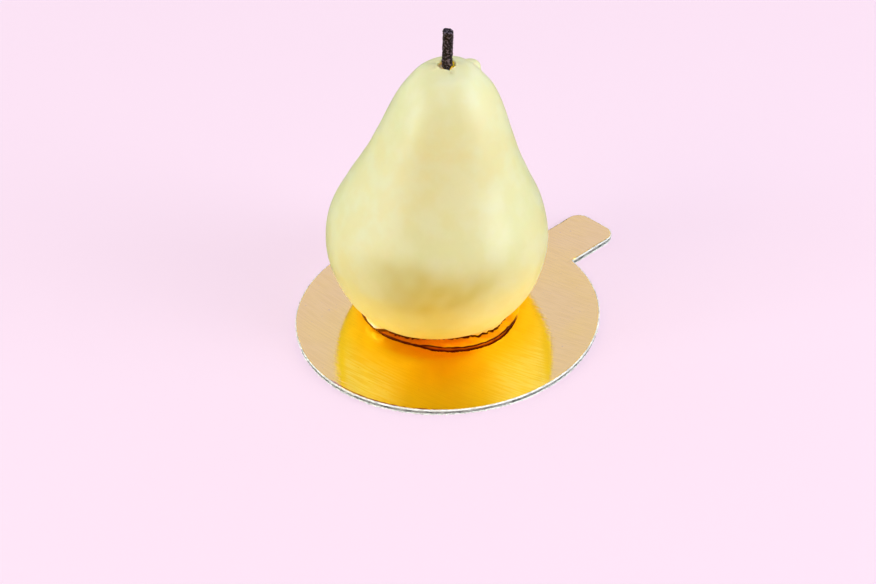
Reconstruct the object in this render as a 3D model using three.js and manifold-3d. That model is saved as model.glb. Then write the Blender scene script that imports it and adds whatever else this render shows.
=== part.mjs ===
// A pear-shaped mousse cake on its round serving card.
// Millimetres, +Z up. The origin is the centre of the card's round part, on the card's underside.

import {
  BufferAttribute,
  BufferGeometry,
  CylinderGeometry,
  EllipseCurve,
  ExtrudeGeometry,
  Group,
  LatheGeometry,
  MathUtils,
  Mesh,
  MeshStandardMaterial,
  Shape,
  SphereGeometry,
  SplineCurve,
  Vector2,
} from 'three';
import { mergeVertices } from 'three/addons/utils/BufferGeometryUtils.js';
import Module from 'manifold-3d';

// ---- driving dimensions -------------------------------------------------------------------

// Card: a disc with a pull tab, pressed from four plies.
const CARD_RADIUS = 40;
const TAB_WIDTH = 14.8;
const TAB_REACH = 56.4; // from the card's centre to the tab's end
const TAB_CORNER = 3.7;
const TAB_DIRECTION = 41.5; // degrees from +X towards +Y
const LOWER_LINER = 0.4;
const CORE = 0.9;
const UPPER_LINER = 0.4;
const FOIL = 0.1;
const CARD_TOP = LOWER_LINER + CORE + UPPER_LINER + FOIL;

// Where the cake stands on the card.
const CAKE_X = -1.5;
const CAKE_Y = 7.55;

// Glaze foot: the thin amber plate of set glaze that the cake stands on.
const FOOT_THICKNESS = 0.9;
const FOOT_RADIUS = 21.7;
const FOOT_WAVES = [
  { lobes: 1, swell: 1.0, direction: -59 },
  { lobes: 2, swell: 0.75, direction: -63 },
  { lobes: 3, swell: 0.4, direction: -37 },
  { lobes: 4, swell: 0.55, direction: 23 },
];

// Pear: radius and height above the card along its side, from the base to the crown.
const PEAR_PROFILE = [
  [19.4, 0.9],
  [22.2, 3.2],
  [25.4, 7.5],
  [27.7, 13],
  [29, 20],
  [27.9, 28],
  [24.3, 36],
  [20.5, 44],
  [17.4, 52],
  [14.4, 60],
  [11.4, 65.8],
  [6.5, 71.4],
  [0, 73.1],
];
const NECK_BEND = 4.6; // how far the crown leans over to +X
const BEND_START = 23; // heights above the card
const BEND_END = 68;

// Lump of coating on the back right shoulder of the crown, its height above the card last.
const LUMP_CENTRE = [9.3, 13.45, 68];
const LUMP_RADII = [2.9, 2.4, 2.2];

// Stem hole, its gel and the stem share one leaning axis.
const STEM_X = 3.6;
const STEM_Y = 7.95;
const STEM_FOOT = 68.6; // bottom of the hole, height above the card
const STEM_LEAN = 4.3; // degrees towards +X
const HOLE_RADIUS = 2.5;
const HOLE_TO_CROWN = 4.4; // from the hole's bottom to the crown along the axis
const HOLE_OVERRUN = 3; // how far the hole's cutter runs past the crown
const STEM_RADIUS = 1.35;
const STEM_LENGTH = 13.9;
const STEM_TOP_SLOPE = 0.24; // rise of the cut end for each millimetre towards -X
const GEL_HEIGHT = 3.3;
const PLAY = 0.3; // clearance between the stem, the gel and the cake

// Fineness of the round surfaces.
const PEAR_SEGMENTS = 64;
const PEAR_RINGS = 38;
const CARD_ARC_STEPS = 96;
const TAB_CORNER_STEPS = 5;
const FOOT_STEPS = 96;

// ---- materials ----------------------------------------------------------------------------

const foilGold = new MeshStandardMaterial({ color: 0xf0c070, roughness: 0.22, metalness: 1 });
const whitePaper = new MeshStandardMaterial({ color: 0xf2efe9, roughness: 0.9, metalness: 0 });
const greyPulp = new MeshStandardMaterial({ color: 0x8d8983, roughness: 0.95, metalness: 0 });
const amberGlaze = new MeshStandardMaterial({ color: 0xd97a08, roughness: 0.15, metalness: 0.2 });
const satinCoating = new MeshStandardMaterial({ color: 0xebdfa0, roughness: 0.4, metalness: 0 });
const yellowGel = new MeshStandardMaterial({ color: 0xe8bd1c, roughness: 0.12, metalness: 0 });
const darkChocolate = new MeshStandardMaterial({ color: 0x2b201f, roughness: 0.7, metalness: 0 });

// ---- solids -------------------------------------------------------------------------------

const wasm = await Module();
wasm.setup();

// A closed three.js geometry as a solid, with its shared corners joined.
function toSolid(geometry) {
  const bare = geometry.clone();
  bare.deleteAttribute('normal');
  bare.deleteAttribute('uv');
  const merged = mergeVertices(bare, 1e-4);
  const corners = merged.index.array;
  const triangles = [];
  for (let i = 0; i < corners.length; i += 3) {
    const [a, b, c] = corners.slice(i, i + 3);
    if (a !== b && b !== c && c !== a) {
      triangles.push(a, b, c);
    }
  }
  const mesh = new wasm.Mesh({
    numProp: 3,
    vertProperties: new Float32Array(merged.attributes.position.array),
    triVerts: new Uint32Array(triangles),
  });
  return new wasm.Manifold(mesh);
}

function toGeometry(solid) {
  const mesh = solid.getMesh();
  const geometry = new BufferGeometry();
  geometry.setAttribute('position', new BufferAttribute(mesh.vertProperties, 3));
  geometry.setIndex(new BufferAttribute(mesh.triVerts, 1));
  geometry.computeVertexNormals();
  return geometry;
}

function piece(name, geometry, material) {
  const mesh = new Mesh(geometry, material);
  mesh.name = name;
  return mesh;
}

// ---- serving card -------------------------------------------------------------------------

function arcPoints(x, y, radius, start, end, steps) {
  return new EllipseCurve(x, y, radius, radius, start, end).getPoints(steps);
}

// Round card with a round-cornered tab, drawn with the tab along +X.
function cardOutline() {
  const halfWidth = TAB_WIDTH / 2;
  const mouth = Math.asin(halfWidth / CARD_RADIUS);
  const cornerX = TAB_REACH - TAB_CORNER;
  const cornerY = halfWidth - TAB_CORNER;
  const quarter = Math.PI / 2;
  return new Shape([
    ...arcPoints(0, 0, CARD_RADIUS, mouth, 2 * Math.PI - mouth, CARD_ARC_STEPS),
    ...arcPoints(cornerX, -cornerY, TAB_CORNER, -quarter, 0, TAB_CORNER_STEPS),
    ...arcPoints(cornerX, cornerY, TAB_CORNER, 0, quarter, TAB_CORNER_STEPS),
  ]);
}

function cardPly(name, bottom, thickness, material) {
  const geometry = new ExtrudeGeometry(cardOutline(), { depth: thickness, bevelEnabled: false });
  geometry.translate(0, 0, bottom);
  geometry.rotateZ(MathUtils.degToRad(TAB_DIRECTION));
  return piece(name, geometry, material);
}

function servingCard() {
  const card = new Group();
  card.add(cardPly('card_lower_liner', 0, LOWER_LINER, whitePaper));
  card.add(cardPly('card_core', LOWER_LINER, CORE, greyPulp));
  card.add(cardPly('card_upper_liner', LOWER_LINER + CORE, UPPER_LINER, whitePaper));
  card.add(cardPly('card_foil', CARD_TOP - FOIL, FOIL, foilGold));
  return card;
}

// ---- glaze foot ---------------------------------------------------------------------------

// Its edge is a circle that swells and draws in by a few slow waves.
function footRadius(angle) {
  let radius = FOOT_RADIUS;
  for (const { lobes, swell, direction } of FOOT_WAVES) {
    radius += swell * Math.cos(lobes * (angle - MathUtils.degToRad(direction)));
  }
  return radius;
}

function glazeFoot() {
  const edge = [];
  for (let i = 0; i < FOOT_STEPS; i += 1) {
    const angle = (2 * Math.PI * i) / FOOT_STEPS;
    const radius = footRadius(angle);
    edge.push(new Vector2(radius * Math.cos(angle), radius * Math.sin(angle)));
  }
  const geometry = new ExtrudeGeometry(new Shape(edge), {
    depth: FOOT_THICKNESS,
    bevelEnabled: false,
  });
  geometry.translate(CAKE_X, CAKE_Y, CARD_TOP);
  return piece('glaze_foot', geometry, amberGlaze);
}

// ---- pear ---------------------------------------------------------------------------------

// How far the pear's middle has moved to +X at a height above the card.
function neckShift(height) {
  return NECK_BEND * MathUtils.smoothstep(height, BEND_START, BEND_END);
}

// The profile turned about its axis, then bent over along the neck.
function roundPear() {
  const side = new SplineCurve(PEAR_PROFILE.map(([radius, height]) => new Vector2(radius, height)));
  const [, baseHeight] = PEAR_PROFILE[0];
  const profile = [new Vector2(0, baseHeight), ...side.getPoints(PEAR_RINGS)];
  const geometry = new LatheGeometry(profile, PEAR_SEGMENTS);
  geometry.rotateX(Math.PI / 2);
  const position = geometry.attributes.position;
  for (let i = 0; i < position.count; i += 1) {
    position.setX(i, position.getX(i) + neckShift(position.getZ(i)));
  }
  geometry.translate(CAKE_X, CAKE_Y, CARD_TOP);
  return toSolid(geometry);
}

function coatingLump() {
  const [x, y, height] = LUMP_CENTRE;
  const geometry = new SphereGeometry(1, 20, 12);
  geometry.scale(...LUMP_RADII);
  geometry.translate(x, y, height + CARD_TOP);
  return toSolid(geometry);
}

// Moves a shape made along +Z from the hole's bottom onto the stem's leaning axis.
function placeOnStemAxis(geometry) {
  geometry.rotateY(MathUtils.degToRad(STEM_LEAN));
  const lean = Math.tan(MathUtils.degToRad(STEM_LEAN)) * HOLE_TO_CROWN;
  geometry.translate(STEM_X - lean, STEM_Y, STEM_FOOT + CARD_TOP);
  return geometry;
}

function stemHole() {
  const depth = HOLE_TO_CROWN + HOLE_OVERRUN;
  const geometry = new CylinderGeometry(HOLE_RADIUS, HOLE_RADIUS, depth, 24);
  geometry.rotateX(Math.PI / 2);
  geometry.translate(0, 0, depth / 2);
  return toSolid(placeOnStemAxis(geometry));
}

function pearBody() {
  const solid = roundPear().add(coatingLump()).subtract(stemHole());
  return piece('pear_body', toGeometry(solid), satinCoating);
}

// ---- stem and gel -------------------------------------------------------------------------

// A round stick with a slanting cut end, standing just off the bottom of its hole.
function stem() {
  const geometry = new CylinderGeometry(STEM_RADIUS, STEM_RADIUS, STEM_LENGTH, 20, 1);
  geometry.rotateX(Math.PI / 2);
  geometry.translate(0, 0, STEM_LENGTH / 2);
  const position = geometry.attributes.position;
  for (let i = 0; i < position.count; i += 1) {
    if (position.getZ(i) > STEM_LENGTH / 2) {
      position.setZ(i, position.getZ(i) - STEM_TOP_SLOPE * position.getX(i));
    }
  }
  geometry.translate(0, 0, PLAY);
  return piece('stem', placeOnStemAxis(geometry), darkChocolate);
}

// A ring of gel between the stem and the wall of the hole.
function stemGel() {
  const inner = STEM_RADIUS + PLAY;
  const outer = HOLE_RADIUS - PLAY;
  const section = [
    new Vector2(inner, PLAY),
    new Vector2(outer, PLAY),
    new Vector2(outer, GEL_HEIGHT),
    new Vector2(inner, GEL_HEIGHT),
    new Vector2(inner, PLAY),
  ];
  const geometry = new LatheGeometry(section, 24);
  geometry.rotateX(Math.PI / 2);
  return piece('stem_gel', placeOnStemAxis(geometry), yellowGel);
}

// ---- assembly -----------------------------------------------------------------------------

const pearCake = new Group();
pearCake.add(servingCard());
pearCake.add(glazeFoot());
pearCake.add(pearBody());
pearCake.add(stemGel());
pearCake.add(stem());

export default pearCake;
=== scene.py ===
"""A pear-shaped mousse cake on its round gold card, with every finish, the light and the camera."""

import math

import bpy
import numpy as np
from mathutils import Matrix, Vector


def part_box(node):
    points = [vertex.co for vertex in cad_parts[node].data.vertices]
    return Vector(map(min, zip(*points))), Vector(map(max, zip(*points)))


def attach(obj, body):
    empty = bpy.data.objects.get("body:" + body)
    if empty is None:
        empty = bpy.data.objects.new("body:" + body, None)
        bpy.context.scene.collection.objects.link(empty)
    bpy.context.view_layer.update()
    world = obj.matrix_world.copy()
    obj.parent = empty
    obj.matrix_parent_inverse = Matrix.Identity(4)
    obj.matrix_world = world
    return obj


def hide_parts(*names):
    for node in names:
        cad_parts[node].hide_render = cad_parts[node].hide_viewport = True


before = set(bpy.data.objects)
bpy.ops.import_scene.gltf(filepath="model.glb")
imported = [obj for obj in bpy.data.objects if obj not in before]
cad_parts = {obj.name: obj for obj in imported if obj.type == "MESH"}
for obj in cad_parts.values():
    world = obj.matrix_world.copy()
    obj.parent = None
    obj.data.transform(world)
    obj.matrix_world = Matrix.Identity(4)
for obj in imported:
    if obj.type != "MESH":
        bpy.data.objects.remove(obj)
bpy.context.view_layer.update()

MM = 0.001
FULL_TURN = 2 * math.pi
QUARTER_TURN = math.pi / 2

# ---- sizes of the parts, in millimetres ----


def node_box(node):
    """A part's lowest and highest corner in millimetres."""
    low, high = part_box(node)
    return np.array(low) / MM, np.array(high) / MM


CARD_TOP = node_box("card_foil")[1][2]
CARD_RADIUS = -node_box("card_foil")[0][0]
TAB_WIDTH = 14.8
TAB_REACH = 56.4
TAB_CORNER = 3.7
TAB_DIRECTION = math.radians(41.5)

# The middle of the cake's foot on the card.
CAKE_X = -1.5
CAKE_Y = 7.55

# Radius and height above the card along the pear's side.
PEAR_PROFILE = (
    (19.4, 0.9),
    (22.2, 3.2),
    (25.4, 7.5),
    (27.7, 13),
    (29, 20),
    (27.9, 28),
    (24.3, 36),
    (20.5, 44),
    (17.4, 52),
    (14.4, 60),
    (11.4, 65.8),
    (6.5, 71.4),
    (0, 73.1),
)
BASE_RADIUS, BASE_HEIGHT = PEAR_PROFILE[0]

# How far the neck bends to +X, and the heights above the card between which it does.
NECK_BEND = 4.6
BEND_START = 23
BEND_END = 68

# The lump on the crown, an ellipsoid.
LUMP_CENTRE = (9.3, 13.45, 68 + CARD_TOP)
LUMP_RADII = (2.9, 2.4, 2.2)

# The stem goes through the crown at this spot, leaning to +X. Its foot is this high above the card, and
# this far below the crown.
STEM_X = 3.6
STEM_Y = 7.95
STEM_LEAN = math.radians(4.3)
STEM_FOOT = 68.6
HOLE_TO_CROWN = 4.4
STEM_RADIUS = 1.35
STEM_LENGTH = 13.9
STEM_TOP_SLOPE = 0.18
HOLE_RADIUS = 2.2
# Bearing and half width in degrees, and how far the hole's rim closes up to the stem there.
HOLE_CLOSES = ((-90, 50, 0.55), (0, 35, 0.25))
# The gap that the solid parts keep at the hole's bottom.
PLAY = 0.3

# ---- lines and waves ----


def smoothstep(low, high, value):
    """0 up to low and 1 past high, with 3t^2 - 2t^3 between. Low may be the larger of the two."""
    share = np.clip((value - low) / (high - low), 0, 1)
    return share * share * (3 - 2 * share)


def smooth_line(points, count):
    """A uniform Catmull-Rom curve through the points with its ends repeated, as count points."""
    points = np.array(points, float)
    held = np.vstack([points[:1], points, points[-1:]])
    place = np.linspace(0, len(points) - 1, count)
    span = np.minimum(place.astype(int), len(points) - 2)
    t = (place - span)[:, None]
    before, start, end, after = (held[span + step] for step in range(4))
    slope = (end - before) * t
    bend = (2 * before - 5 * start + 4 * end - after) * t**2
    twist = (3 * start - 3 * end + after - before) * t**3
    return (2 * start + slope + bend + twist) / 2


def even_line(line, count, closed=False):
    """The same line as count points at an even spacing along it."""
    if closed:
        line = np.vstack([line, line[:1]])
    steps = np.linalg.norm(np.diff(line, axis=0), axis=1)
    walked = np.concatenate([[0], np.cumsum(steps)])
    places = np.linspace(0, walked[-1], count, endpoint=not closed)
    return np.stack([np.interp(places, walked, column) for column in line.T], axis=1)


def angles(count):
    """Even angles of one whole turn, in radians."""
    return np.linspace(0, FULL_TURN, count, endpoint=False)


def ring_waves(angle, spread, lobes, fade, seed):
    """A closed wavy line: sines of the first to the last number of lobes, each 1 / lobes^fade high.

    They have random phases, and are scaled together to the given spread.
    """
    random = np.random.default_rng(seed)
    lobes = np.arange(lobes[0], lobes[1] + 1)
    phases = random.uniform(0, FULL_TURN, len(lobes))
    heights = lobes ** -float(fade)
    waves = np.sin(angle[..., None] * lobes + phases) @ heights
    return spread * waves / math.sqrt((heights**2).sum() / 2)


def space_waves(points, spread, lengths, count, seed):
    """Bumps through space: flat sine waves in random directions, their lengths going from first to last.

    They have random phases, and are scaled together to the given spread.
    """
    random = np.random.default_rng(seed)
    directions = random.normal(size=(3, count))
    directions /= np.linalg.norm(directions, axis=0)
    lengths = np.geomspace(*lengths, count)
    phases = random.uniform(0, FULL_TURN, count)
    waves = np.sin(points @ (directions * FULL_TURN / lengths) + phases)
    return spread * waves.sum(axis=-1) / math.sqrt(count / 2)


def towards(angle, bearing, half_width):
    """A smooth hump of height 1 round a bearing: exp(-(turn / half width)^2), with both in degrees."""
    turn = (np.degrees(angle) - bearing + 180) % 360 - 180
    return np.exp(-((turn / half_width) ** 2))


def humps(angle, rows):
    """Smooth humps added up, each a row of its bearing and half width in degrees, and its height."""
    return sum(height * towards(angle, bearing, half_width) for bearing, half_width, height in rows)


# ---- meshes ----


def add_object(name, data):
    """A new object in the scene, at the origin."""
    added = bpy.data.objects.new(name, data)
    bpy.context.collection.objects.link(added)
    return added


def closed_surface(name, rings, material, replaces=(), wraps=False, crease=None, marks=None):
    """A grid of points as one closed mesh, riding on the part's only body.

    rings holds rings by points around by x, y, z in millimetres. Seen from above a ring runs anticlockwise,
    and the rings go from the underside up the outside to the top, so that faces point out. The first and
    last rings close in a fan on their middle, or join each other where wraps is true. Edges that turn by
    more than crease degrees stay sharp. marks gives each point named values that the material reads.
    """
    count, around, _ = rings.shape
    index = np.arange(count * around).reshape(count, around)
    points = rings.reshape(-1, 3)
    lower, upper = index[:-1], index[1:]
    if wraps:
        lower, upper = index, np.roll(index, -1, axis=0)
    corners = [lower, np.roll(lower, -1, axis=1), np.roll(upper, -1, axis=1), upper]
    faces = np.stack(corners, axis=-1).reshape(-1, 4).tolist()
    if not wraps:
        first, last = index[0], index[-1]
        points = np.vstack([points, rings[0].mean(axis=0), rings[-1].mean(axis=0)])
        bottom = np.full(around, count * around)
        faces += np.stack([np.roll(first, -1), first, bottom], axis=1).tolist()
        faces += np.stack([last, np.roll(last, -1), bottom + 1], axis=1).tolist()
    mesh = bpy.data.meshes.new(name)
    mesh.from_pydata((points * MM).tolist(), [], faces)
    mesh.shade_smooth()
    if crease is not None:
        mesh.set_sharp_from_angle(angle=math.radians(crease))
    mesh.materials.append(material)
    for label, values in (marks or {}).items():
        values = np.broadcast_to(values, (count, around)).ravel()
        values = np.concatenate([values, np.zeros(len(mesh.vertices) - len(values))])
        mesh.attributes.new(label, "FLOAT", "POINT").data.foreach_set("value", values)
    piece = add_object(name, mesh)
    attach(piece, "root")
    if replaces:
        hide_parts(*replaces)
    return piece


def turned(radius, height, angle, centre_x=0.0, centre_y=0.0):
    """Points at a radius and height round a middle. Rings are rows, and angles are columns."""
    x = centre_x + radius * np.cos(angle)
    y = centre_y + radius * np.sin(angle)
    return np.stack([x, y, height + np.zeros_like(x)], axis=-1)


TINY = 1e-9


def outward(points):
    """The unit normal at each point of a grid of rings."""
    up = np.gradient(points, axis=0)
    along = np.roll(points, -1, axis=1) - np.roll(points, 1, axis=1)
    normal = np.cross(along, up)
    return normal / np.maximum(np.linalg.norm(normal, axis=-1, keepdims=True), TINY)


def hole_reach(angle):
    """The stem hole's radius by bearing."""
    return HOLE_RADIUS - humps(angle, HOLE_CLOSES)


def onto_stem_axis(points):
    """Moves points made about +Z from the hole's bottom onto the stem's leaning axis."""
    x, y, z = np.moveaxis(points, -1, 0)
    lean_x = x * math.cos(STEM_LEAN) + z * math.sin(STEM_LEAN)
    lean_z = z * math.cos(STEM_LEAN) - x * math.sin(STEM_LEAN)
    foot_x = STEM_X - math.tan(STEM_LEAN) * HOLE_TO_CROWN
    return np.stack([foot_x + lean_x, STEM_Y + y, STEM_FOOT + CARD_TOP + lean_z], axis=-1)


# ---- node helpers ----


def feed(tree, socket, value):
    """Gives an input socket a fixed value or another node's output."""
    if isinstance(value, bpy.types.NodeSocket):
        tree.links.new(value, socket)
    else:
        socket.default_value = value


def add_node(tree, kind, inputs=None, **settings):
    """A node with its settings, whose inputs are values or other nodes' outputs."""
    node = tree.nodes.new(kind)
    for name, value in settings.items():
        setattr(node, name, value)
    for socket, value in (inputs or {}).items():
        feed(tree, node.inputs[socket], value)
    return node


def math_node(tree, operation, *values):
    """The result of one sum on numbers or outputs."""
    return add_node(tree, "ShaderNodeMath", dict(enumerate(values)), operation=operation).outputs[0]


def product(tree, first, *others):
    """Values multiplied together, such as masks that all have to hold."""
    for other in others:
        first = math_node(tree, "MULTIPLY", first, other)
    return first


def stretched(tree, vector, scale):
    """Coordinates multiplied along X, Y and Z."""
    inputs = {0: vector, 1: scale}
    return add_node(tree, "ShaderNodeVectorMath", inputs, operation="MULTIPLY").outputs[0]


def counted_in(tree, vector, length):
    """Coordinates counted in a length, which another output gives in millimetres."""
    inputs = {0: vector, "Scale": math_node(tree, "DIVIDE", 1 / MM, length)}
    return add_node(tree, "ShaderNodeVectorMath", inputs, operation="SCALE").outputs[0]


def noise(tree, vector, detail, roughness=0.5):
    """Cloudy noise of unit size over the coordinates."""
    inputs = {"Vector": vector, "Scale": 1.0, "Detail": detail, "Roughness": roughness}
    return add_node(tree, "ShaderNodeTexNoise", inputs).outputs["Fac"]


def ramp(tree, value, low, high, to_low=0.0, to_high=1.0):
    """A value between low and high brought smoothly to the range from to_low to to_high."""
    inputs = {"Value": value, "From Min": low, "From Max": high, "To Min": to_low, "To Max": to_high}
    node = add_node(tree, "ShaderNodeMapRange", inputs, interpolation_type="SMOOTHSTEP")
    return node.outputs["Result"]


# The colour sockets of a Mix node.
MIX_FIRST_COLOUR = 6
MIX_SECOND_COLOUR = 7
MIX_COLOUR_RESULT = 2


def blend(tree, share, first, second):
    """The first colour, going to the second as share goes from 0 to 1."""
    node = add_node(tree, "ShaderNodeMix", data_type="RGBA")
    feed(tree, node.inputs["Factor"], share)
    feed(tree, node.inputs[MIX_FIRST_COLOUR], first)
    feed(tree, node.inputs[MIX_SECOND_COLOUR], second)
    return node.outputs[MIX_COLOUR_RESULT]


def group_tree(name, inputs, outputs):
    """A new shader group with its sockets, and its input and output nodes."""
    tree = bpy.data.node_groups.new(name, "ShaderNodeTree")
    for in_out, sockets in (("INPUT", inputs), ("OUTPUT", outputs)):
        for socket, kind in sockets.items():
            tree.interface.new_socket(name=socket, in_out=in_out, socket_type="NodeSocket" + kind)
    return tree, tree.nodes.new("NodeGroupInput"), tree.nodes.new("NodeGroupOutput")


# The noise heights between which one colour of the patches goes over to the other, and a pit gets deep.
PATCH_EDGE = (0.36, 0.64)
PIT_EDGE = (0.36, 0.27)


def patches_group():
    """Two colours in soft cloudy patches of a given size in millimetres."""
    inputs = {"Vector": "Vector", "Patch Size": "Float", "First": "Color", "Second": "Color"}
    tree, given, result = group_tree("Soft patches", inputs, {"Color": "Color", "Share": "Float"})
    place = counted_in(tree, given.outputs["Vector"], given.outputs["Patch Size"])
    share = ramp(tree, noise(tree, place, detail=3), *PATCH_EDGE)
    colour = blend(tree, share, given.outputs["First"], given.outputs["Second"])
    feed(tree, result.inputs["Color"], colour)
    feed(tree, result.inputs["Share"], share)
    return tree


def grain_group():
    """A fine grain of a given size in millimetres, as a height and as a mask of its deepest pits."""
    inputs = {"Vector": "Vector", "Grain Size": "Float"}
    tree, given, result = group_tree("Fine grain", inputs, {"Height": "Float", "Pits": "Float"})
    place = counted_in(tree, given.outputs["Vector"], given.outputs["Grain Size"])
    height = noise(tree, place, detail=4, roughness=0.6)
    feed(tree, result.inputs["Height"], height)
    feed(tree, result.inputs["Pits"], ramp(tree, height, *PIT_EDGE))
    return tree


SOFT_PATCHES = patches_group()
FINE_GRAIN = grain_group()


def place_group(tree, group, inputs):
    """A shader group with its own values, as its outputs."""
    node = add_node(tree, "ShaderNodeGroup", node_tree=group)
    for socket, value in inputs.items():
        feed(tree, node.inputs[socket], value)
    return node.outputs


def patches(tree, where, size, first, second):
    """Soft patches of two colours, as the outputs Color and Share."""
    inputs = {"Vector": where, "Patch Size": size, "First": first, "Second": second}
    return place_group(tree, SOFT_PATCHES, inputs)


def grain(tree, where, size):
    """A fine grain, as the outputs Height and Pits."""
    return place_group(tree, FINE_GRAIN, {"Vector": where, "Grain Size": size})


def blend_marked(tree, tone, marked):
    """The tone, going to another one where the piece's points carry a named value that has one."""
    for label, other in marked.items():
        carried = add_node(tree, "ShaderNodeAttribute", attribute_name=label).outputs["Fac"]
        tone = blend(tree, carried, tone, other)
    return tone


def new_material(name, **constants):
    """A material with its Principled shader's own values, its tree, shader and Object coordinates."""
    material = bpy.data.materials.new(name)
    material.use_nodes = True
    tree = material.node_tree
    shader = tree.nodes["Principled BSDF"]
    for socket, value in constants.items():
        shader.inputs[socket.replace("_", " ")].default_value = value
    where = add_node(tree, "ShaderNodeTexCoord").outputs["Object"]
    return material, tree, shader, where


# The heights between which most of a noise lies.
NOISE_RANGE = (0.3, 0.7)


def roughen(tree, shader, height, least, most):
    """Sets the roughness by a noise's height, from least to most."""
    feed(tree, shader.inputs["Roughness"], ramp(tree, height, *NOISE_RANGE, least, most))


def bump(tree, shader, height, distance):
    """Raises the shader's surface by height, which is distance millimetres from 0 to 1."""
    inputs = {"Height": height, "Distance": distance * MM, "Strength": 1.0}
    feed(tree, shader.inputs["Normal"], add_node(tree, "ShaderNodeBump", inputs).outputs["Normal"])


# ---- finishes ----

# Tones of the coating's marks: thin is deeper, partly painted shade, gold is painted gold light from the
# foil, and the white one is a painted highlight.
COATING_MARKED = {
    "thin": (0.68, 0.58, 0.20, 1),
    "gold": (0.90, 0.60, 0.045, 1),
    "painted_glint": (0.98, 0.98, 0.96, 1),
}
COATING_ROUGHNESS = (0.38, 0.46)


def pear_coating():
    """Satin pale yellow coating, cloudy between a greener and a warmer yellow, with a faint orange peel.

    It is deeper where thin and in painted shade, golden low down with painted gold light, and a painted
    glint.
    """
    material, tree, shader, where = new_material(
        "pear coating",
        Specular_IOR_Level=0.5,
        Subsurface_Weight=0.25,
        Subsurface_Radius=(1.0, 0.75, 0.35),
        Subsurface_Scale=2.5 * MM,
        Sheen_Weight=0.12,
        Sheen_Roughness=0.3,
    )
    greener = (0.79, 0.765, 0.41, 1)
    warmer = (0.82, 0.75, 0.39, 1)
    paler = (0.82, 0.79, 0.475, 1)
    broad = patches(tree, where, size=24.0, first=greener, second=warmer)
    tone = patches(tree, where, size=7.0, first=broad["Color"], second=paler)["Color"]
    feed(tree, shader.inputs["Base Color"], blend_marked(tree, tone, COATING_MARKED))
    feed(tree, shader.inputs["Roughness"], ramp(tree, broad["Share"], 0, 1, *COATING_ROUGHNESS))
    bump(tree, shader, grain(tree, where, size=2.2)["Height"], distance=0.03)
    return material


def set_gel(name, light, deep, patch, roughness, coat, marked):
    """Clear set gel or glaze, in soft patches from a lighter to a deeper tone.

    patch is the patches' size in millimetres. marked gives the tones of the places with a named value.
    """
    material, tree, shader, where = new_material(
        name,
        Specular_IOR_Level=coat / 2,
        Coat_Weight=coat,
        Coat_Roughness=0.08,
        Subsurface_Weight=0.2,
        Subsurface_Radius=(1.0, 0.4, 0.05),
        Subsurface_Scale=0.8 * MM,
    )
    tone = patches(tree, where, size=patch, first=light, second=deep)["Color"]
    feed(tree, shader.inputs["Base Color"], blend_marked(tree, tone, marked))
    height = grain(tree, where, size=patch / 4)["Height"]
    roughen(tree, shader, height, roughness, roughness * 2)
    bump(tree, shader, height, distance=0.02)
    return material


CHOCOLATE_TONES = ((0.003, 0.001, 0.002, 1), (0.014, 0.008, 0.012, 1))
DUST_TONE = (0.15, 0.115, 0.15, 1)
DUST_EDGE = (0.51, 0.59)


def dark_chocolate():
    """Rough dark chocolate with a crumbly surface and dusty purple-grey crumbs."""
    material, tree, shader, where = new_material("dark chocolate", Specular_IOR_Level=0.2)
    tone = patches(tree, where, 0.8, *CHOCOLATE_TONES)["Color"]
    crumbs = grain(tree, where, size=0.6)["Height"]
    dusty = blend(tree, ramp(tree, crumbs, *DUST_EDGE), tone, DUST_TONE)
    feed(tree, shader.inputs["Base Color"], dusty)
    roughen(tree, shader, crumbs, least=0.7, most=0.95)
    bump(tree, shader, crumbs, distance=0.25)
    return material


# The foil's fine drawn marks are arcs about a far point of the card's plane. These are its place, its
# rough distance, and a mark's length and width, in millimetres.
MARKS_CENTRE = (115, 128)
MARKS_RADIUS = 200
MARK_LENGTH = 8
MARK_WIDTH = 0.5

# Zones of the foil. Each row is what is measured, where the zone starts and where it is full, in
# millimetres from the cake's middle, or from the card's where the row says so. turn is in radians to
# either side of the front, side is x to either side, and marks is the height of the drawn marks.
# These four zones are painted light and shade: a darker reflection of the cake's shaded underside in front,
# shade by the plate's foot, a lighter reflection at both sides and a dark reflection at the front left
# edge.
DARK_REFLECTION_ZONE = (("turn", 0.45, 0.0), ("distance", 46, 28))
FOOT_SHADE_ZONE = (("y", -8, -12), ("distance", 30, 24.5), ("x", 10, 4), ("x", -20, -12))
LIGHT_REFLECTION_ZONE = (("y", -8, -12), ("side", 8, 18), ("side", 26.5, 24.5), ("distance", 26, 38))
EDGE_SHADE_ZONE = (
    ("card distance", 39.25, 39.4),
    ("card x", 2, -8),
    ("card y", -20, -29),
    ("marks", 0.35, 0.55),
)
FOIL_TONES = ((1.0, 0.685, 0.018, 1), (0.98, 0.67, 0.022, 1))
# Tones of the painted zones: darker reflection, shade by the foot and lighter reflection. The edge tone
# below is a painted dark reflection.
DARK_REFLECTION_TONE = (0.84, 0.45, 0.005, 1)
FOOT_SHADE_TONE = (0.72, 0.44, 0.005, 1)
LIGHT_REFLECTION_TONE = (1.0, 0.8, 0.2, 1)
MARK_TONE = (0.80, 0.49, 0.008, 1)
PIT_TONE = (0.8, 0.52, 0.03, 1)
EDGE_SHADE_TONE = (0.4, 0.1, 0.03, 1)

# Two heights of the drawn marks, and how strongly a tone shows at each.
LIGHT_REFLECTION_BY_MARKS = (0.38, 0.6, 0.4, 0.85)
TONE_BY_MARKS = (0.6, 0.35, 0.0, 0.2)


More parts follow.
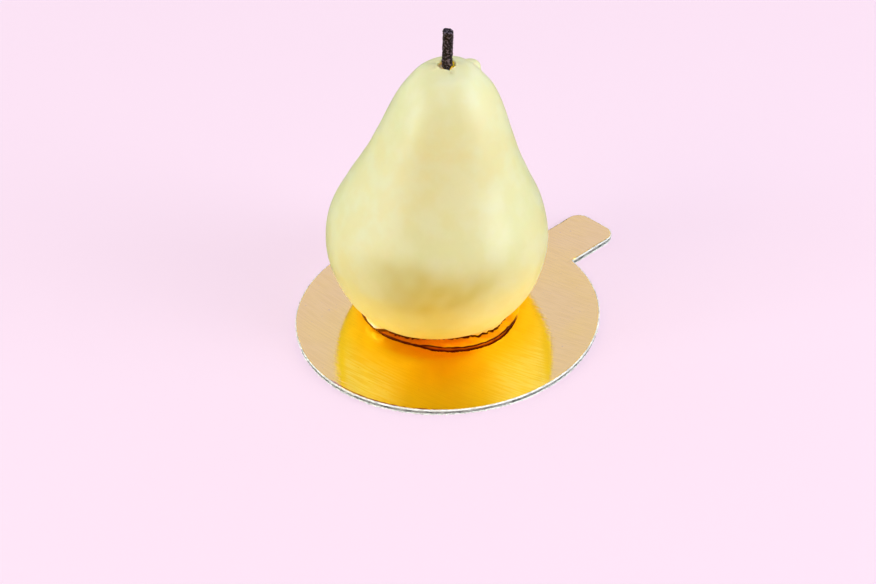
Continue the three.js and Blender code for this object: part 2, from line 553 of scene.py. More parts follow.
def from_spot(tree, where, spot):
    """X, Y and the distance from a spot of the card's plane, all in millimetres, as outputs."""
    inputs = {0: where, 1: (spot[0] * MM, spot[1] * MM, 0)}
    way = add_node(tree, "ShaderNodeVectorMath", inputs, operation="SUBTRACT").outputs[0]
    flat = stretched(tree, way, (1 / MM, 1 / MM, 0))
    parts = add_node(tree, "ShaderNodeSeparateXYZ", {0: flat}).outputs
    distance = add_node(tree, "ShaderNodeVectorMath", {0: flat}, operation="LENGTH").outputs["Value"]
    return parts["X"], parts["Y"], distance


def zone(tree, measured, rows):
    """A mask: smooth ramps of measured values, multiplied, each from its start to where it is full."""
    return product(tree, *[ramp(tree, measured[name], starts, full) for name, starts, full in rows])


def drawn_marks(tree, where):
    """The height of the fine drawn marks: noise stretched along arcs about a far point."""
    x, y, distance = from_spot(tree, where, MARKS_CENTRE)
    turn = math_node(tree, "ARCTAN2", y, x)
    along = math_node(tree, "MULTIPLY", turn, MARKS_RADIUS / MARK_LENGTH)
    across = math_node(tree, "DIVIDE", distance, MARK_WIDTH)
    place = add_node(tree, "ShaderNodeCombineXYZ", {"X": along, "Y": across}).outputs[0]
    return noise(tree, place, detail=1)


def gold_foil():
    """Gold foil with fine drawn marks in wide arcs and small dull pits.

    In front of the cake it carries painted shade that darkens the reflection of the shaded underside,
    painted shade next to the foot, paler streaks of painted light at both sides, and a brown painted dark
    reflection at its front left edge.
    """
    material, tree, shader, where = new_material("gold foil", Metallic=1.0)
    marks = drawn_marks(tree, where)
    x, y, distance = from_spot(tree, where, (CAKE_X, CAKE_Y))
    to_the_front = math_node(tree, "MULTIPLY", y, -1)
    card_x, card_y, card_distance = from_spot(tree, where, (0, 0))
    measured = {
        "x": x,
        "y": y,
        "distance": distance,
        "side": math_node(tree, "ABSOLUTE", x),
        "turn": math_node(tree, "ABSOLUTE", math_node(tree, "ARCTAN2", x, to_the_front)),
        "card x": card_x,
        "card y": card_y,
        "card distance": card_distance,
        "marks": marks,
    }
    reflection_streaks = product(tree, zone(tree, measured, LIGHT_REFLECTION_ZONE), ramp(tree, marks, *LIGHT_REFLECTION_BY_MARKS))
    tone = patches(tree, where, 18.0, *FOIL_TONES)["Color"]
    # All but the drawn marks and the pits are painted light and shade.
    for mask, painted in (
        (zone(tree, measured, DARK_REFLECTION_ZONE), DARK_REFLECTION_TONE),
        (zone(tree, measured, FOOT_SHADE_ZONE), FOOT_SHADE_TONE),
        (reflection_streaks, LIGHT_REFLECTION_TONE),
        (ramp(tree, marks, *TONE_BY_MARKS), MARK_TONE),
        (grain(tree, where, size=0.9)["Pits"], PIT_TONE),
        (zone(tree, measured, EDGE_SHADE_ZONE), EDGE_SHADE_TONE),
    ):
        tone = blend(tree, mask, tone, painted)
    feed(tree, shader.inputs["Base Color"], tone)
    roughen(tree, shader, marks, least=0.06, most=0.1)
    bump(tree, shader, marks, distance=0.025)
    return material


# The papers' clean and shaded tones, and the tone of their fibres.
WHITE_TONES = ((0.92, 0.91, 0.90, 1), (0.66, 0.65, 0.64, 1), (0.97, 0.96, 0.95, 1))
GREY_TONES = ((0.09, 0.09, 0.09, 1), (0.30, 0.29, 0.28, 1), (0.7, 0.69, 0.67, 1))
# How many widths of a fibre go into a metre along X, Y and Z, and the noise heights where a fibre shows.
FIBRES_PER_METRE = (0.7 / MM, 0.7 / MM, 6 / MM)
FIBRE_EDGE = (0.56, 0.66)


def pressed_paper(name, clean, shaded, fibre_tone):
    """Pressed paper seen at its cut edge: soft patches with fibres that lie along the ply."""
    material, tree, shader, where = new_material(name, Specular_IOR_Level=0.2)
    tone = patches(tree, where, size=1.6, first=clean, second=shaded)["Color"]
    fibres = noise(tree, stretched(tree, where, FIBRES_PER_METRE), detail=3, roughness=0.65)
    fibrous = blend(tree, ramp(tree, fibres, *FIBRE_EDGE), tone, fibre_tone)
    feed(tree, shader.inputs["Base Color"], fibrous)
    roughen(tree, shader, grain(tree, where, size=0.5)["Height"], least=0.8, most=0.95)
    bump(tree, shader, fibres, distance=0.08)
    return material


# ---- card ----


def arc(x, y, radius, start, end, steps=200):
    """An arc about x, y from one angle to another, in radians."""
    angle = np.linspace(start, end, steps)
    return np.stack([x + radius * np.cos(angle), y + radius * np.sin(angle)], axis=1)


OUTLINE_POINTS = 1120


def card_outline():
    """The round part's arc and the tab's two corner arcs, joined by straight sides, as even points."""
    half = TAB_WIDTH / 2
    mouth = math.asin(half / CARD_RADIUS)
    corner_x = TAB_REACH - TAB_CORNER
    corner_y = half - TAB_CORNER
    line = np.vstack([
        arc(0, 0, CARD_RADIUS, mouth, FULL_TURN - mouth, steps=1400),
        arc(corner_x, -corner_y, TAB_CORNER, -QUARTER_TURN, 0),
        arc(corner_x, corner_y, TAB_CORNER, 0, QUARTER_TURN),
    ])
    x, y = even_line(line, OUTLINE_POINTS, closed=True).T
    cos, sin = math.cos(TAB_DIRECTION), math.sin(TAB_DIRECTION)
    return np.stack([x * cos - y * sin, x * sin + y * cos], axis=1)


OUTLINE = card_outline()
OUTLINE_ANGLE = angles(OUTLINE_POINTS)
# The rings of a ply's flat faces, as shares of the outline.
INNER_RINGS = (0.02, 0.35, 0.7, 0.93)
# The share of a torn corner's rise that is left a little further in.
RISE_INWARDS = 0.8


def inset(line, distance):
    """A closed line moved inwards by a distance, which may change from point to point."""
    along = np.roll(line, -1, axis=0) - np.roll(line, 1, axis=0)
    along /= np.linalg.norm(along, axis=1, keepdims=True)
    inwards = np.stack([-along[:, 1], along[:, 0]], axis=1)
    return line + inwards * np.broadcast_to(distance, len(line))[:, None]


def level_ring(line, height):
    """A flat line as a ring at a height, which may change from point to point."""
    return np.column_stack([line, np.broadcast_to(height, len(line))])


def card_ply(name, node, material, edge, rise=0.0, soft=0.06):
    """One ply between its node's heights: flat inside, with a cut edge softened by a short slope.

    edge is how far the cut stands inside the card's outline, rise is how far its lower corner is torn up.
    """
    low, high = node_box(node)
    bottom, top = low[2], high[2]
    outer = inset(OUTLINE, edge)
    inner = inset(OUTLINE, edge + soft)
    rings = [level_ring(OUTLINE * share, bottom) for share in INNER_RINGS]
    rings += [
        level_ring(inner, bottom + rise * RISE_INWARDS),
        level_ring(outer, bottom + soft + rise),
        level_ring(outer, top - soft),
        level_ring(inner, top),
    ]
    rings += [level_ring(OUTLINE * share, top) for share in reversed(INNER_RINGS)]
    return closed_surface(name, np.array(rings), material, [node], crease=30)


# The share of a tear's depth in its middle, and the least share.
TORN_MIDDLE = 0.5
TORN_LEAST = 0.02


def torn(least, depth, seed):
    """A torn edge line: never below least, with teeth that reach up to depth more."""
    slow = ring_waves(OUTLINE_ANGLE, spread=0.18, lobes=(3, 40), fade=0.5, seed=seed)
    fast = ring_waves(OUTLINE_ANGLE, spread=0.28, lobes=(90, 330), fade=0.3, seed=seed + 1)
    return least + np.clip(TORN_MIDDLE + slow + fast, TORN_LEAST, 1) * depth


def serving_card():
    """The card's four plies from the bottom up. The foil stands back, so that a white rim shows."""
    white = pressed_paper("white paper", *WHITE_TONES)
    grey = pressed_paper("grey pulp", *GREY_TONES)
    low_cut = torn(0.01, 0.36, seed=11)
    low_rise = torn(0, 0.2, seed=21)
    grey_cut = torn(0.18, 0.2, seed=31)
    top_cut = torn(0.01, 0.06, seed=41)
    foil_cut = torn(0.26, 0.12, seed=51)
    return [
        card_ply("base_paper_ply", "card_lower_liner", white, low_cut, low_rise),
        card_ply("grey_pulp_ply", "card_core", grey, grey_cut),
        card_ply("top_paper_ply", "card_upper_liner", white, top_cut),
        card_ply("gold_foil_sheet", "card_foil", gold_foil(), foil_cut, soft=0.02),
    ]


# ---- the coating's lower edge ----

# Bearing and half width in degrees, and how far the coating's lower edge hangs out there.
LIP_SWELLS = (
    (-154, 4, 0.35),
    (-148, 9, 2.0),
    (-142.3, 3, 0.75),
    (-99, 15, -1.2),
    (-82, 9, -0.5),
    (-64, 2.5, 0.4),
    (-55, 10, 1.0),
    (-48, 6.5, 0.6),
    (-38, 6, 0.25),
)
# How ragged the edge is, and how much more so round one bearing.
LIP_RAGGED = 0.06
LIP_TORN = ((-60, 22, 0.10),)
# How golden the edge is all round, and how much more so round one bearing. This is painted gold light that
# the foil throws up.
LIP_GOLD = 0.35
LIP_GOLD_FRONT = ((-98, 34, 0.65),)


def lip_swell(angle):
    """How far the coating's lower edge stands out of its circle: its swells and a ragged line."""
    ragged = LIP_RAGGED + humps(angle, LIP_TORN)
    return humps(angle, LIP_SWELLS) + ring_waves(angle, ragged, lobes=(20, 120), fade=0.4, seed=72)


# ---- glaze plate ----

# The plate's edge: a circle with slow waves, each with its lobes, swell and direction in degrees.
FOOT_RADIUS = 21.7
FOOT_WAVES = ((1, 1.0, -59), (2, 0.75, -63), (3, 0.4, -37), (4, 0.55, 23))
# Bearing and half width in degrees, and how far the edge is drawn in there.
FOOT_DRAWN_IN = ((-18, 18, 0.55), (-148, 13, 0.45))
PLATE_POINTS = 600
PLATE_INNER = 18.6
PLATE_LEVEL = 0.6
PLATE_EDGE = 0.36
# The gap that the plate keeps to the card and to the pear.
PLATE_GAP = 0.02
# The radii of the rings inside the inner radius, and the others as shares of the way on to the edge.
PLATE_MIDDLE_RINGS = (2, 12, PLATE_INNER)
PLATE_SHARES = np.linspace(0.03, 0.96, 34)
PLATE_EDGE_RINGS = 9
# The edge curls up by the lift between two bearings in degrees, and is thicker round one.
LIFT = 0.4
LIFT_FROM = -103
LIFT_TO = -42
LIFT_EASE = 5
THICKER = ((-38, 9, 0.6),)
# The shares of the way at which the underside starts to rise, and the top to fall.
UNDERSIDE_RISES = 0.2
TOP_FALLS = 0.25
# The dark rim is painted shade on the plate's edge and underside. It starts at these shares of the way
# below and above, and ends between two bearings. It is weaker round another one, with its half width in
# degrees and the share that is lost.
RIM_BELOW = 0.8
RIM_ABOVE = 0.93
RIM_ENDS = (-22, -34)
RIM_FADES = ((-150, 22, 0.15),)
# A painted shadow along the coating's lower edge starts and is full this far outside it. It is weaker too.
GROOVE_SHADOW_REACH = (0.85, 0.55)
GROOVE_SHADOW_FADES = ((-155, 16, 0.85),)
# Bearing and half width in degrees of painted shade on the plate's left, where the cake shades it.
PAINTED_SHADE = (-122, 36)


def foot_radius(angle):
    """A circle that swells and draws in by a few slow waves."""
    swells = [swell * np.cos(lobes * (angle - math.radians(way))) for lobes, swell, way in FOOT_WAVES]
    return FOOT_RADIUS + sum(swells)


def glaze_plate(material):
    """The set glaze under the pear: a thin round-edged plate whose edge curls up at front right.

    Past the inner radius a ring is a share of the way out. The underside rises by the lift on the way, and
    the top goes from the plate's level to one edge thickness above the underside.
    """
    angle = angles(PLATE_POINTS)
    bearing = (np.degrees(angle) + 180) % 360 - 180
    curled = smoothstep(LIFT_FROM - LIFT_EASE, LIFT_FROM + LIFT_EASE, bearing)
    curled = curled * smoothstep(LIFT_TO + LIFT_EASE, LIFT_TO - LIFT_EASE, bearing)
    edge = foot_radius(angle) - humps(angle, FOOT_DRAWN_IN)
    edge = edge + ring_waves(angle, spread=0.05, lobes=(5, 90), fade=0.9, seed=61)
    lift = LIFT * curled * (1 + ring_waves(angle, spread=0.1, lobes=(9, 60), fade=0.7, seed=62))
    thick = PLATE_EDGE * (1 + humps(angle, THICKER))
    thick = thick * (1 + ring_waves(angle, spread=0.12, lobes=(12, 80), fade=0.6, seed=63))

    def out(share):
        return PLATE_INNER + (edge - thick / 2 - PLATE_INNER) * share

    def underside(share):
        return PLATE_GAP + lift * smoothstep(UNDERSIDE_RISES, 1, share)

    def top(share):
        return PLATE_LEVEL + (underside(1) + thick - PLATE_LEVEL) * smoothstep(TOP_FALLS, 1, share)

    # Each ring's radius, its height and how dark it is.
    flat = 0 * angle
    rings = [(flat + radius, flat + PLATE_GAP, 0) for radius in PLATE_MIDDLE_RINGS]
    rings += [(out(share), underside(share), smoothstep(RIM_BELOW, 1, share)) for share in PLATE_SHARES]
    for turn in np.linspace(-QUARTER_TURN, QUARTER_TURN, PLATE_EDGE_RINGS):
        radius = out(1) + thick / 2 * math.cos(turn)
        rings.append((radius, underside(1) + thick / 2 * (1 + math.sin(turn)), 1))
    shares = PLATE_SHARES[::-1]
    rings += [(out(share), top(share), smoothstep(RIM_ABOVE, 1, share)) for share in shares]
    under_pear = flat + BASE_HEIGHT - PLATE_GAP
    rings += [(flat + radius, under_pear, 0) for radius in reversed(PLATE_MIDDLE_RINGS)]
    radius = np.array([ring[0] for ring in rings])
    height = np.array([ring[1] for ring in rings])
    dark = np.array([ring[2] for ring in rings])[:, None]

    # Painted shade: a dark rim on the edge and underside, a shadow line along the coating's edge, a darker
    # left.
    rim = dark * smoothstep(*RIM_ENDS, bearing) * (1 - humps(angle, RIM_FADES))
    ragged = ring_waves(angle, spread=0.12, lobes=(20, 140), fade=0.3, seed=64)
    lip = BASE_RADIUS + lip_swell(angle) + ragged
    groove_out, groove_in = GROOVE_SHADOW_REACH
    groove_shadow = smoothstep(lip + groove_out, lip + groove_in, radius) * (radius > PLATE_INNER)
    groove_shadow = groove_shadow * (1 - humps(angle, GROOVE_SHADOW_FADES))
    marks = {"rim": np.maximum(rim, groove_shadow), "shade": towards(angle, *PAINTED_SHADE)}
    points = turned(radius, height + CARD_TOP, angle, CAKE_X, CAKE_Y)
    return closed_surface("glaze_plate", points, material, ["glaze_foot"], marks=marks)


# ---- pear ----

PEAR_AROUND = 330
PROFILE_POINTS = 1500
SIDE_RINGS = 200
BASE_RINGS = 7
ROLL_RINGS = 7
WALL_RINGS = 12
BASE_INNER = 2
BOTTOM_INNER = 0.5
RIM_ROUND = 0.55
# How far rings stand from a corner, how much the hole's lower corner is cut, the angle in radians at
# which the rim's roll starts, and how far below it the wall starts.
CORNER = 0.4
CORNER_CUT = 0.12
ROLL_START = 0.15
WALL_START = 0.25


def pear_line():
    """Radius and height along the pear: base, side, the rim rolling into the stem hole, and its bottom.

    The second result is how many of the points lie outside the hole.
    """
    side = smooth_line(PEAR_PROFILE, PROFILE_POINTS)
    side = even_line(side[side[:, 0] > HOLE_RADIUS + RIM_ROUND], SIDE_RINGS)
    base_radii = np.linspace(BASE_INNER, BASE_RADIUS - CORNER, BASE_RINGS)
    base = np.column_stack([base_radii, np.full(BASE_RINGS, BASE_HEIGHT)])
    crown = side[-1, 1]
    roll = np.linspace(ROLL_START, QUARTER_TURN, ROLL_RINGS)
    rim = np.column_stack([
        HOLE_RADIUS + RIM_ROUND * (1 - np.sin(roll)),
        crown - RIM_ROUND * (1 - np.cos(roll)),
    ])
    depths = np.linspace(crown - RIM_ROUND - WALL_START, STEM_FOOT + CORNER, WALL_RINGS)
    wall = np.column_stack([np.full(WALL_RINGS, HOLE_RADIUS), depths])
    bottom = np.array([
        (HOLE_RADIUS - CORNER_CUT, STEM_FOOT + CORNER_CUT),
        (HOLE_RADIUS - CORNER, STEM_FOOT),
        (BOTTOM_INNER, STEM_FOOT),
    ])
    return np.vstack([base, side, rim, wall, bottom]), len(base) + len(side)


LUMP_SMOOTHINGS = 2


def lump_push(points, normal):
    """How far each point inside the lump's ellipsoid moves along its normal to reach the ellipsoid.

    The moves are then smoothed by averages of neighbours, so that the lump runs softly into the crown.
    """
    inside = (points - LUMP_CENTRE) / LUMP_RADII
    ray = normal / LUMP_RADII
    a = (ray**2).sum(axis=-1)
    b = (inside * ray).sum(axis=-1)
    c = (inside**2).sum(axis=-1) - 1
    push = (np.sqrt(np.maximum(b * b - a * c, 0)) - b) / a
    push = np.where(c < 0, push, 0)
    for _ in range(LUMP_SMOOTHINGS):
        for axis in (0, 1):
            push = (np.roll(push, 1, axis) + np.roll(push, -1, axis) + 2 * push) / 4
    return push


# Places on the lower front that are darker and more olive, partly a thinner coating and partly painted
# shade:
# the middle, with its height above the card, the half width and half height, and how thin and shaded it is.
THIN_SHADED_SPOTS = (
    ((-9.5, 27.0), (8.0, 4.2), 0.75),
    ((-0.5, 21.0), (8.5, 5.0), 1.05),
    ((8.0, 23.0), (9.0, 5.0), 0.35),
    ((-11.0, 17.5), (5.5, 4.0), 0.45),
)
THINNEST = 1.3


def thin_shaded_spots(points):
    """How thin and shaded the coating is, partly as painted shade: soft ovals on the front, added up and
    broken up by small waves.
    """
    x, y, z = np.moveaxis(points, -1, 0)
    thin = 0 * x
    for (middle_x, middle_height), (half_width, half_height), share in THIN_SHADED_SPOTS:
        across = (x - middle_x) / half_width
        up = (z - CARD_TOP - middle_height) / half_height
        thin = thin + share * np.exp(-(across**2) - up**2) * (y < 0)
    waves = space_waves(points, spread=0.16, lengths=(4, 14), count=20, seed=75)
    return np.clip(thin * (1 + waves), 0, THINNEST)


# Radii between which, on the crown, the middle goes over to the stem's, the hole starts to close up and
# the rim's waves fade out. In the hole they start this far above its bottom, and are full below its rim.
MIDDLE_SHIFTS = (10, 3)
CLOSING_STARTS = 6
RIM_FADES_OUT = (5, 3)
RIM_FADES_DOWN = (0.5, 1)
RIM_NICK = ((-80, 10, 0.3),)
# The lower edge's swells fade out between two heights above the base, and go in this far under it.
LIP_FADES = (2.4, 0.2)
LIP_UNDER = 1
# Heights above the card between which the skin's waves start, the painted gold light fades out in two steps
# and the painted glint ends.
SKIN_STARTS = (1.5, 6)
GOLD_FADES = ((5, 1.5), (3.8, 2.8))
GLINT_FADES = (2.5, 1.9)
# The painted white glint's bearing and half width in degrees, and the hump's heights where it ends and is
# full.
GLINT_PLACE = (-142, 6)
GLINT_SIDES = (0.3, 0.7)


def pear(material):
    """The pear profile turned about its bent middle, with slow waves, the lump and the hole's rim."""
    line, outside = pear_line()
    radius, height = line[:, :1], line[:, 1:]
    angle = angles(PEAR_AROUND)
    in_hole = np.arange(len(line))[:, None] >= outside
    on_crown = height > BEND_START
    crown = height[outside - 1, 0]
    axis_x = STEM_X - math.tan(STEM_LEAN) * np.maximum(crown - height, 0)
    near_stem = np.where(in_hole, 1, smoothstep(*MIDDLE_SHIFTS, radius) * on_crown)
    centre_x = CAKE_X + NECK_BEND * smoothstep(BEND_START, BEND_END, height)
    centre_x = centre_x + (np.where(in_hole, axis_x, STEM_X) - centre_x) * near_stem
    centre_y = CAKE_Y + (STEM_Y - CAKE_Y) * near_stem

    # The hole's rim closes up to the stem at the front and at +X. It is uneven, and nicked at the front.
    closing = smoothstep(CLOSING_STARTS, HOLE_RADIUS, radius) * on_crown
    closing = np.where(in_hole, radius / HOLE_RADIUS, closing)
    above_bottom, below_rim = RIM_FADES_DOWN
    held = smoothstep(STEM_FOOT + above_bottom, crown - below_rim, height)
    held = np.where(in_hole, held, smoothstep(*RIM_FADES_OUT, radius)) * on_crown
    uneven = ring_waves(angle, spread=0.1, lobes=(2, 14), fade=0.6, seed=71) - humps(angle, RIM_NICK)

    # The coating's lower edge is ragged, and hangs out further at some bearings.
    fade_from, fade_to = LIP_FADES
    lip = smoothstep(BASE_HEIGHT + fade_from, BASE_HEIGHT + fade_to, height)
    lip = lip * (radius > BASE_RADIUS - LIP_UNDER)
    radii = radius + (hole_reach(angle) - HOLE_RADIUS) * closing + lip_swell(angle) * lip

    points = turned(radii, height + uneven * held + CARD_TOP, angle, centre_x, centre_y)
    normal = outward(points)
    slow = space_waves(points, spread=0.10, lengths=(14, 45), count=14, seed=73)
    small = space_waves(points, spread=0.014, lengths=(3, 9), count=16, seed=74)
    skin = smoothstep(*SKIN_STARTS, height) * ~in_hole
    move = (slow + small) * skin + lump_push(points, normal) * ~in_hole
    points = points + normal * move[..., None]
    # Painted light: gold light from the foil low down, and a white glint on the lower edge at the left.
    low_edge = sum(smoothstep(*heights, height) for heights in GOLD_FADES) / len(GOLD_FADES)
    painted_glint = smoothstep(*GLINT_FADES, height) * smoothstep(*GLINT_SIDES, towards(angle, *GLINT_PLACE))
    golden = low_edge * (LIP_GOLD + humps(angle, LIP_GOLD_FRONT))
    marks = {"thin": thin_shaded_spots(points), "gold": golden, "painted_glint": painted_glint}
    return closed_surface("pear", points, material, ["pear_body"], marks=marks)


# Bearing and half width in degrees, and length, of each drip of gel along the coating's lower edge.
DRIPS = ((-73, 2.2, 0.25), (-64.5, 1.3, 0.45), (-56.5, 2.0, 0.4), (-51, 2.0, 0.2), (-43, 3.0, 0.2))
DRIP_AROUND = 720
BEAD_AROUND = 14
BEAD_HALF_WIDTH = 0.14
BEAD_HALF_HEIGHT = 0.17
# How far the bead's middle stands inside the coating's edge, and how far its foot hangs below it.
BEAD_INSIDE = 0.1
BEAD_DRAWN_IN = ((-144, 9, 0.35),)
BEAD_HANGS = 0.04


def coating_drips(material):
    """A thin bead of gel: an ellipse carried round the pear's lower edge, wider where a drip ran out."""
    angle = angles(DRIP_AROUND)
    turn = angles(BEAD_AROUND)[:, None]
    waves = ring_waves(angle, spread=0.04, lobes=(12, 150), fade=0.5, seed=81)
    half_width = BEAD_HALF_WIDTH + waves + humps(angle, DRIPS)
    middle = BASE_RADIUS + lip_swell(angle) - BEAD_INSIDE - humps(angle, BEAD_DRAWN_IN)
    radius = middle + half_width * np.cos(turn)
    height = BASE_HEIGHT - BEAD_HANGS + BEAD_HALF_HEIGHT * (1 + np.sin(turn))
    points = turned(radius, height + CARD_TOP, angle, CAKE_X, CAKE_Y)
    return closed_surface("coating_drips", points, material, wraps=True)


# ---- stem and gel ----

STEM_AROUND = 96
STEM_RINGS = 130
# Radius and height of the rings that round the stem's foot, and radius and depth of those at its end.
STEM_FOOT_RINGS = ((0.3, 0), (0.9, 0), (1.2, 0.01), (1.3, 0.04))
STEM_END_RINGS = ((1.3, 0.05), (1.18, 0.01), (0.9, 0), (0.6, 0), (0.3, 0))
# Where the straight side starts above the foot and ends below the end.
STEM_SIDE_ENDS = (0.1, 0.12)
# How far the crumbly side is moved in, so that few crumbs stand out of the stem's radius.
CRUMB_ROOM = 0.04


def chocolate_stem(material):
    """A profile turned into a round stick with a crumbly side and a slanting broken end, worn round."""
    side_low, side_high = STEM_SIDE_ENDS
    side_heights = np.linspace(side_low, STEM_LENGTH - side_high, STEM_RINGS)
    side = np.column_stack([np.full(STEM_RINGS, STEM_RADIUS), side_heights])
    end = (0, STEM_LENGTH) + np.array(STEM_END_RINGS) * (1, -1)
    line = np.vstack([STEM_FOOT_RINGS, side, end])
    radius, height = line[:, :1], line[:, 1:]
    points = turned(radius, height, angles(STEM_AROUND))
    slant = smoothstep(STEM_LENGTH / 2, STEM_LENGTH, height)
    points[..., 2] += PLAY - STEM_TOP_SLOPE * slant * points[..., 0]
    lumps = space_waves(points, spread=0.03, lengths=(1.1, 4.0), count=16, seed=91)
    crumbs = space_waves(points, spread=0.05, lengths=(0.35, 0.9), count=30, seed=92)
    points += outward(points) * (lumps + crumbs - CRUMB_ROOM)[..., None]
    return closed_surface("chocolate_stem", onto_stem_axis(points), material, ["stem"])


GEL_AROUND = 72
GEL_ACROSS = 9
GEL_BOTTOM = 2 * PLAY
GEL_LEVEL = 3.6
GEL_CLIMBS = 0.4
GEL_TILT = 0.3
GEL_SINKS = ((-90, 40, 1.0),)
# The gap that the gel keeps to the stem and to the hole.
GEL_GAP = 0.02
# Bearing and half width in degrees of the gel's tan place, at the hole's left.
GEL_TAN_PLACE = (180, 70)


def gel_pool(material):
    """A ring of gel round the stem. Its top is a parabola from hole to stem, and stands higher at +X."""
    angle = angles(GEL_AROUND)
    across = np.linspace(0, 1, GEL_ACROSS)[:, None]
    top = GEL_LEVEL + GEL_CLIMBS * (2 * across - 1) ** 2
    top = top + GEL_TILT * np.cos(angle) - humps(angle, GEL_SINKS)
    bottom = np.full((2, GEL_AROUND), GEL_BOTTOM)
    outer = hole_reach(angle) - GEL_GAP
    inner = STEM_RADIUS + GEL_GAP
    radius = outer + (inner - outer) * np.vstack([[[1], [0]], across])
    points = onto_stem_axis(turned(radius, np.vstack([bottom, top]), angle))
    tan_place = {"rim": towards(angle, *GEL_TAN_PLACE)}
    return closed_surface(
        "gel_pool", points, material, ["stem_gel"], wraps=True, marks=tan_place
    )


# ---- floor, light and camera ----

FLOOR_PINK = (1.0, 0.783, 0.94, 1)
FLOOR_GLOW = 0.72
FLOOR_TONES = ((0.33, 0.26, 0.31, 1), (0.32, 0.25, 0.30, 1))
FLOOR_PATCH = 300.0
FLOOR_RADIUS = 9000
FLOOR_CORNERS = 96


def pale_floor():
    """A wide plain floor, mostly evenly bright. It takes shadows, but throws no light at the cake."""
    material, tree, shader, where = new_material(
        "pale floor",
        Roughness=0.9,
        Specular_IOR_Level=0.0,
        Emission_Color=FLOOR_PINK,
        Emission_Strength=FLOOR_GLOW,
    )
    feed(tree, shader.inputs["Base Color"], patches(tree, where, FLOOR_PATCH, *FLOOR_TONES)["Color"])
    rim = turned(FLOOR_RADIUS, 0, angles(FLOOR_CORNERS)) * MM
    mesh = bpy.data.meshes.new("floor")
    mesh.from_pydata(rim.tolist(), [], [list(range(FLOOR_CORNERS))])
    mesh.materials.append(material)
    floor = add_object("floor", mesh)
    floor.visible_diffuse = False
    floor.visible_glossy = False
    floor.visible_transmission = False


# The spot that every lamp faces, in metres.
CAKE_MIDDLE = Vector((0, 0.007, 0.036))


def way_to(azimuth, elevation):
    """The way out to a lamp or the camera: azimuth 0 is the front and +90 is +X, in degrees."""
    turn, rise = math.radians(azimuth), math.radians(elevation)
    return Vector((math.sin(turn) * math.cos(rise), -math.cos(turn) * math.cos(rise), math.sin(rise)))


def soft_lamp(name, azimuth, elevation, size, power, colour, distance=0.85, only=None):
    """A soft rectangular lamp that faces the cake.

    Its size and distance are in metres, and its power is in watts. only is a collection of the pieces that
    it lights. Multiple importance sampling is off, because it counts part of the light twice where some
    lamps light only some of the pieces.
    """
    data = bpy.data.lights.new(name, "AREA")
    data.shape = "RECTANGLE"
    data.size, data.size_y = size
    data.energy = power
    data.color = colour
    data.cycles.use_multiple_importance_sampling = False
    lamp = add_object(name, data)
    way = way_to(azimuth, elevation)
    facing = way.to_track_quat("Z", "Y").to_matrix().to_4x4()
    lamp.matrix_world = Matrix.Translation(CAKE_MIDDLE + way * distance) @ facing
    lamp.visible_camera = False
    if only:
        lamp.light_linking.receiver_collection = only
    return lamp


# The wide glow behind the cake: the way to its middle, the cosines of the angles from there at which it
# starts and is full, its colour, and how high above the horizon it is full.
GLOW_WAY = (0, 0.985, 0.174)
GLOW_EDGE = (0.2, 0.9)
GLOW_COLOUR = (0.675, 0.663, 0.655, 1)
HORIZON_EASE = 0.05
BLACK = (0, 0, 0, 1)


def studio_world():
    """A wide white glow behind the cake, above the floor. The camera sees the floor's pink instead."""
    world = bpy.data.worlds.new("studio")
    world.use_nodes = True
    tree = world.node_tree
    way = add_node(tree, "ShaderNodeTexCoord").outputs["Generated"]
    inputs = {0: way, 1: GLOW_WAY}
    nearness = add_node(tree, "ShaderNodeVectorMath", inputs, operation="DOT_PRODUCT").outputs["Value"]
    above = ramp(tree, add_node(tree, "ShaderNodeSeparateXYZ", {0: way}).outputs["Z"], 0, HORIZON_EASE)
    glow = blend(tree, product(tree, ramp(tree, nearness, *GLOW_EDGE), above), BLACK, GLOW_COLOUR)
    seen = add_node(tree, "ShaderNodeLightPath").outputs["Is Camera Ray"]
    feed(tree, tree.nodes["Background"].inputs["Color"], blend(tree, seen, glow, FLOOR_PINK))
    bpy.context.scene.world = world


def collection_of(name, pieces):
    """A collection that only lamps use, holding some of the pieces."""
    chosen = bpy.data.collections.new(name)
    for piece in pieces:
        chosen.objects.link(piece)
    return chosen


# Widths and heights of lamps.
LOW_BROAD = (0.7, 0.6)
LOW_NARROW = (0.25, 0.6)
TALL_NARROW = (0.25, 0.95)
SQUARE = (0.8, 0.8)
BROAD_CARD = (1.7, 1.1)
SIDE_CARD = (2.5, 0.9)
PALE = (1, 0.97, 0.92)
AMBER = (1, 0.58, 0)

# The lamps' names, azimuths, elevations, sizes, powers and colours. These light everything.
STUDIO_LAMPS = (
    ("back left softbox", -120, 19, LOW_BROAD, 1.92, (0.66, 0.80, 0.86)),
    ("left strip", -80, 19, LOW_NARROW, 3.36, (0.66, 0.84, 0.89)),
    ("front left softbox", -60, 19, LOW_BROAD, 2.28, (1, 0.89, 0.68)),
    ("front left tall strip", -60, 30, TALL_NARROW, 1.49, (1, 0.78, 0.46)),
    ("back right softbox", 110, 19, LOW_BROAD, 1.1, (1, 0.93, 0.82)),
    ("front right softbox", 65, 19, LOW_BROAD, 1.77, (0.95, 0.985, 1)),
    ("front right strip", 65, 19, LOW_NARROW, 1.62, (0.89, 0.965, 1)),
    ("front right tall strip", 65, 30, TALL_NARROW, 2.37, (1, 0.96, 0.92)),
    ("right strip", 80, 19, LOW_NARROW, 2.04, (0.55, 0.76, 0.88)),
)
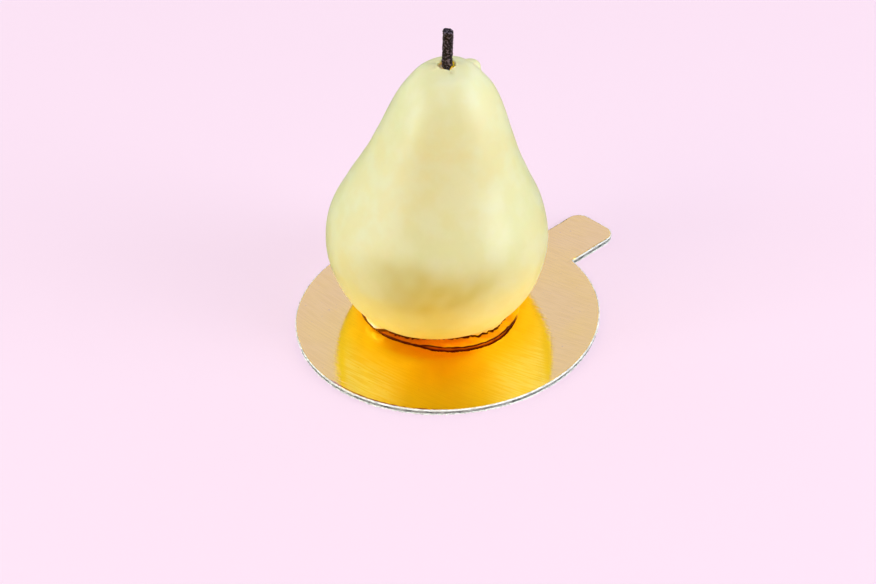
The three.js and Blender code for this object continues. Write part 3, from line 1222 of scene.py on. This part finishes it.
# These light only the cake. The glows stand for the light that the foil throws up.
TOP_SOFTBOX = ("top softbox", 0, 75, (0.7, 0.7), 2.46, (0.61, 0.67, 1))
GOLD_GLOWS = (
    ("gold glow", 0, -42, SQUARE, 4.15, AMBER),
    ("left gold glow", -95, -42, SQUARE, 1.2, AMBER),
    ("right gold glow", 95, -42, SQUARE, 1.0, AMBER),
)
GLOW_DISTANCE = 0.9
# These show only as reflections in the foil.
FOIL_CARDS = (
    ("lavender card", 180, 38, BROAD_CARD, 57, (0.0123, 0.0164, 1)),
    ("front card", 0, 33, BROAD_CARD, 4.0, PALE),
    ("top card", 0, 90, (1.0, 1.0), 2.0, (1, 0.98, 0.95)),
    ("left card", -89, 22, SIDE_CARD, 2.8, PALE),
    ("right card", 89, 22, SIDE_CARD, 2.8, PALE),
)
CARD_DISTANCE = 1.1
# This one lights only the card's paper plies.
PAPER_FILL = ("paper fill", 0, 15, (0.5, 0.5), 6, (1, 0.99, 0.97))


def studio_lamps(cake, paper, foil):
    """Softboxes and strips round the cake, gold glows from below, and cards that light only the foil."""
    cake_only = collection_of("the cake", cake)
    foil_only = collection_of("the foil", [foil])
    for row in STUDIO_LAMPS:
        soft_lamp(*row)
    soft_lamp(*TOP_SOFTBOX, only=cake_only)
    for row in GOLD_GLOWS:
        glow = soft_lamp(*row, GLOW_DISTANCE, only=cake_only)
        glow.data.use_shadow = False
    for row in FOIL_CARDS:
        card = soft_lamp(*row, CARD_DISTANCE, only=foil_only)
        card.visible_diffuse = False
        card.data.cycles.use_multiple_importance_sampling = True
    soft_lamp(*PAPER_FILL, only=collection_of("the paper", paper))


# The camera looks along +Y and down at this spot of the card's top, tilted a little about its line of
# sight. Lengths are in millimetres and angles in degrees.
AIM = (-2.10, 10.03)
CAMERA_DISTANCE = 900
CAMERA_ELEVATION = 36.837
CAMERA_ROLL = -3.414
CAMERA_LENS = 139.76
SENSOR_WIDTH = 36


def place_camera():
    """The camera at its distance and elevation in front of the cake, and its plain view settings."""
    data = bpy.data.cameras.new("camera")
    data.lens = CAMERA_LENS
    data.sensor_width = SENSOR_WIDTH
    camera = add_object("camera", data)
    aim = Vector((*AIM, CARD_TOP)) * MM
    back = way_to(0, CAMERA_ELEVATION)
    upright = back.to_track_quat("Z", "Y").to_matrix().to_4x4()
    roll = Matrix.Rotation(math.radians(CAMERA_ROLL), 4, "Z")
    camera.matrix_world = Matrix.Translation(aim + back * CAMERA_DISTANCE * MM) @ upright @ roll
    bpy.context.scene.camera = camera
    bpy.context.scene.view_settings.view_transform = "Standard"


# ---- the whole ----

place_camera()
pale_floor()
studio_world()

card = serving_card()
amber = set_gel(
    "amber glaze",
    light=(1.0, 0.51, 0.003, 1),
    deep=(0.86, 0.34, 0.002, 1),
    patch=3.5,
    roughness=0.2,
    coat=0.1,
    # The shade and rim tones are painted shade: on the plate's left, along its edge and under the coating's
    # edge.
    marked={"shade": (0.56, 0.13, 0.001, 1), "rim": (0.07, 0.006, 0.0, 1)},
)
yellow = set_gel(
    "yellow gel",
    light=(1.0, 0.77, 0.01, 1),
    deep=(0.97, 0.66, 0.005, 1),
    patch=2.0,
    roughness=0.12,
    coat=0.4,
    marked={"rim": (0.88, 0.68, 0.32, 1)},
)
cake = [
    glaze_plate(amber),
    pear(pear_coating()),
    coating_drips(yellow),
    gel_pool(yellow),
    chocolate_stem(dark_chocolate()),
]
studio_lamps(cake, paper=card[:-1], foil=card[-1])
